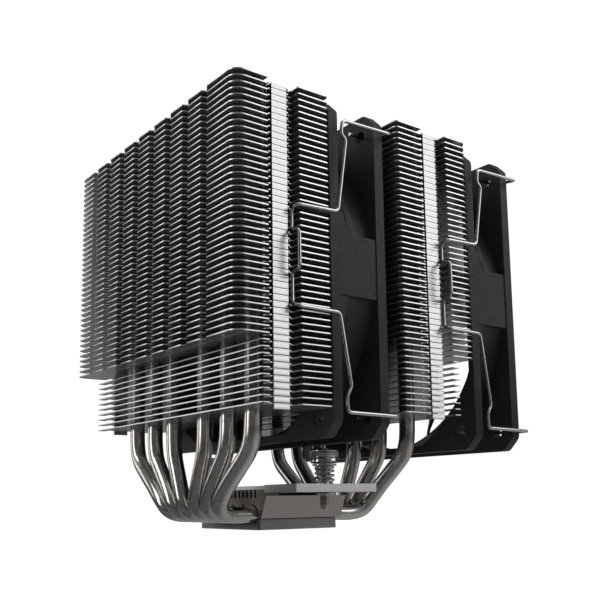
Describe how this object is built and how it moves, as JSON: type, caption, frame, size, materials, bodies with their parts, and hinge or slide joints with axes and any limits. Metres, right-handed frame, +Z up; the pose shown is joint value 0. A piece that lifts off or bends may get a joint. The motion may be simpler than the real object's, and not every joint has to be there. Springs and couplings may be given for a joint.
{
  "type": "dual-tower cpu cooler",
  "caption": "Dual-tower CPU air cooler with bent heat pipes, stacked fins, axial fans held by wire clips, and a base with sprung mounting screws.",
  "frame": {"origin": "centre of the coldplate's underside, where it meets the processor", "axes": "+Z up the towers; +X along the airflow, from the front tower to the rear fan; +Y across the fins"},
  "size_m": [0.1365, 0.1308, 0.1564],
  "materials": {
    "fin_metal": "dark mirror plating with bright cut edges",
    "pipe_metal": "dark polished plating",
    "base_metal": "dark brushed plating",
    "copper_plate": "plated, dark satin",
    "fan_plastic": "fine matte texture",
    "rotor_plastic": "satin",
    "wire_metal": "polished",
    "screw_metal": "turned, semi-polished",
    "spring_metal": "drawn wire",
    "shaft_metal": "ground",
    "magnet": "matte black bonded magnet",
    "coil": "enamelled copper winding",
    "board": "green circuit board"
  },
  "bodies": {
    "cooler": {"coldplate": "copper_plate", "base_block": "base_metal", "mounting_bar": "base_metal", "screw_spring_left": "spring_metal", "screw_spring_right": "spring_metal", "heat_pipe_1": "pipe_metal", "heat_pipe_2": "pipe_metal", "heat_pipe_3": "pipe_metal", "heat_pipe_4": "pipe_metal", "heat_pipe_5": "pipe_metal", "heat_pipe_6": "pipe_metal", "front_fin_stack": "fin_metal", "rear_fin_stack": "fin_metal", "middle_fan_frame": "fan_plastic", "middle_fan_bearing": "shaft_metal", "middle_fan_stator": "coil", "middle_fan_circuit_board": "board", "rear_fan_frame": "fan_plastic", "rear_fan_bearing": "shaft_metal", "rear_fan_stator": "coil", "rear_fan_circuit_board": "board"},
    "screw_carrier_left": {"screw_washer_left": "screw_metal"},
    "screw_left": {"mounting_screw_left": "screw_metal", "retaining_ring_left": "shaft_metal"},
    "screw_carrier_right": {"screw_washer_right": "screw_metal"},
    "screw_right": {"mounting_screw_right": "screw_metal", "retaining_ring_right": "shaft_metal"},
    "middle_rotor": {"middle_fan_impeller": "rotor_plastic", "middle_fan_shaft": "shaft_metal", "middle_fan_magnet_ring": "magnet"},
    "middle_wire_clip_left": {"middle_clip_left": "wire_metal"},
    "middle_wire_clip_right": {"middle_clip_right": "wire_metal"},
    "rear_rotor": {"rear_fan_impeller": "rotor_plastic", "rear_fan_shaft": "shaft_metal", "rear_fan_magnet_ring": "magnet"},
    "rear_wire_clip_left": {"rear_clip_left": "wire_metal"},
    "rear_wire_clip_right": {"rear_clip_right": "wire_metal"}
  },
  "joints": [
    {"name": "middle_fan_spin", "type": "hinge", "parent": "cooler", "child": "middle_rotor", "pos_m": [-0.0015, 0, 0.0913], "axis": [1, 0, 0], "continuous": true},
    {"name": "middle_clip_swing_left", "type": "hinge", "parent": "cooler", "child": "middle_wire_clip_left", "pos_m": [0.009, -0.0525, 0.0913], "axis": [0, 0, 1], "range_deg": [0, 16]},
    {"name": "middle_clip_swing_right", "type": "hinge", "parent": "cooler", "child": "middle_wire_clip_right", "pos_m": [0.009, 0.0525, 0.0913], "axis": [0, 0, 1], "range_deg": [-16, 0]},
    {"name": "rear_fan_spin", "type": "hinge", "parent": "cooler", "child": "rear_rotor", "pos_m": [0.0676, 0, 0.0888], "axis": [1, 0, 0], "continuous": true},
    {"name": "rear_clip_swing_left", "type": "hinge", "parent": "cooler", "child": "rear_wire_clip_left", "pos_m": [0.0781, -0.0525, 0.0888], "axis": [0, 0, 1], "range_deg": [0, 16]},
    {"name": "rear_clip_swing_right", "type": "hinge", "parent": "cooler", "child": "rear_wire_clip_right", "pos_m": [0.0781, 0.0525, 0.0888], "axis": [0, 0, 1], "range_deg": [-16, 0]},
    {"name": "screw_press_left", "type": "slide", "parent": "cooler", "child": "screw_carrier_left", "axis": [0, 0, -1], "range_m": [0, 0.003], "stiffness_N_per_m": 2000, "deforming": ["screw_spring_left"]},
    {"name": "screw_turn_left", "type": "hinge", "parent": "screw_carrier_left", "child": "screw_left", "pos_m": [0, -0.0365, 0.018], "axis": [0, 0, 1], "continuous": true},
    {"name": "screw_press_right", "type": "slide", "parent": "cooler", "child": "screw_carrier_right", "axis": [0, 0, -1], "range_m": [0, 0.003], "stiffness_N_per_m": 2000, "deforming": ["screw_spring_right"]},
    {"name": "screw_turn_right", "type": "hinge", "parent": "screw_carrier_right", "child": "screw_right", "pos_m": [0, 0.0365, 0.018], "axis": [0, 0, 1], "continuous": true}
  ]
}
